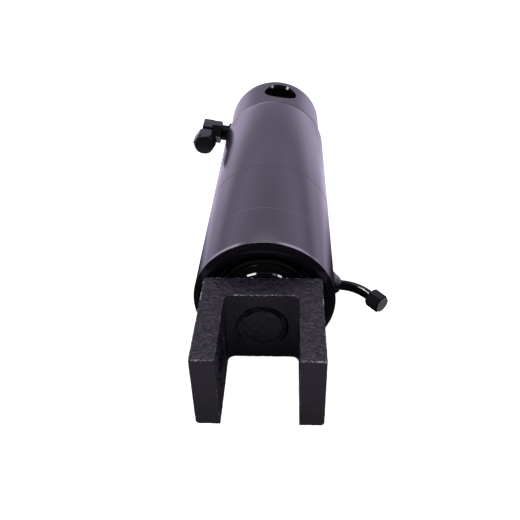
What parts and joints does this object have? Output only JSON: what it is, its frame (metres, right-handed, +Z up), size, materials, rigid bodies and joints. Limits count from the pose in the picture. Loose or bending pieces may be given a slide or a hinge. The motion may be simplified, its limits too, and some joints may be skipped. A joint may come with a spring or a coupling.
{
  "type": "hydraulic cylinder",
  "caption": "Welded double-acting hydraulic cylinder with a drilled rear base, a cast clevis on its rod, an elbow port and a bent tube port, drawn in and lying on its barrel.",
  "frame": {"origin": "centre of the rear cap's flat end, on the barrel's axis", "axes": "+Y out of the rear end along the barrel's axis, so the rod and its clevis point along -Y; +Z up, square to the clevis pin hole, which lies along X"},
  "size_m": [0.2051, 0.4821, 0.1198],
  "materials": {
    "gloss_paint": "gloss black paint with a faint violet cast",
    "cast_paint": "satin black paint over a rough casting, worn bright at the edges",
    "fitting_black": "satin black on forged fittings",
    "gland_iron": "machined, black finished and oiled",
    "spring_steel": "black oxide",
    "hard_chrome": "ground and polished hard chrome",
    "machined_steel": "fine turned",
    "bronze": "fine bored",
    "nitrile": "matt black",
    "wiper_rubber": "smooth black",
    "seal_plastic": "dark hard plastic",
    "plug_grey": "moulded grey transit plug"
  },
  "bodies": {
    "barrel": {"barrel_tube": "gloss_paint", "rear_cap": "gloss_paint", "gland_head": "gland_iron", "gland_retaining_ring": "spring_steel", "gland_o_ring": "nitrile", "gland_backup_ring": "seal_plastic", "rod_guide_bush": "bronze", "rod_seal": "nitrile", "rod_wiper": "wiper_rubber", "rear_port_nipple": "gloss_paint", "elbow_swivel_nut": "fitting_black", "elbow_o_ring": "nitrile", "elbow_body": "fitting_black", "elbow_blanking_cap": "fitting_black", "blanking_cap_seal": "nitrile", "rod_port_boss": "gloss_paint", "rod_port_tube": "gloss_paint", "tube_nut": "fitting_black", "tube_sleeve": "machined_steel", "tube_plug": "plug_grey", "nipple_weld": "gloss_paint"},
    "seal_set": {"piston_seal": "seal_plastic", "piston_seal_energiser": "nitrile", "piston_guide_band_front": "seal_plastic", "piston_guide_band_rear": "seal_plastic"},
    "rod_assembly": {"piston_rod": "hard_chrome", "piston": "machined_steel", "piston_o_ring": "nitrile", "piston_nut": "machined_steel", "clevis": "cast_paint", "nose_weld": "cast_paint"}
  },
  "joints": [
    {"name": "rod_slide", "type": "slide", "parent": "barrel", "child": "seal_set", "axis": [0, -1, 0], "range_m": [0, 0.16]},
    {"name": "rod_turn", "type": "hinge", "parent": "seal_set", "child": "rod_assembly", "pos_m": [0, -0.1378, 0], "axis": [0, -1, 0], "continuous": true}
  ]
}
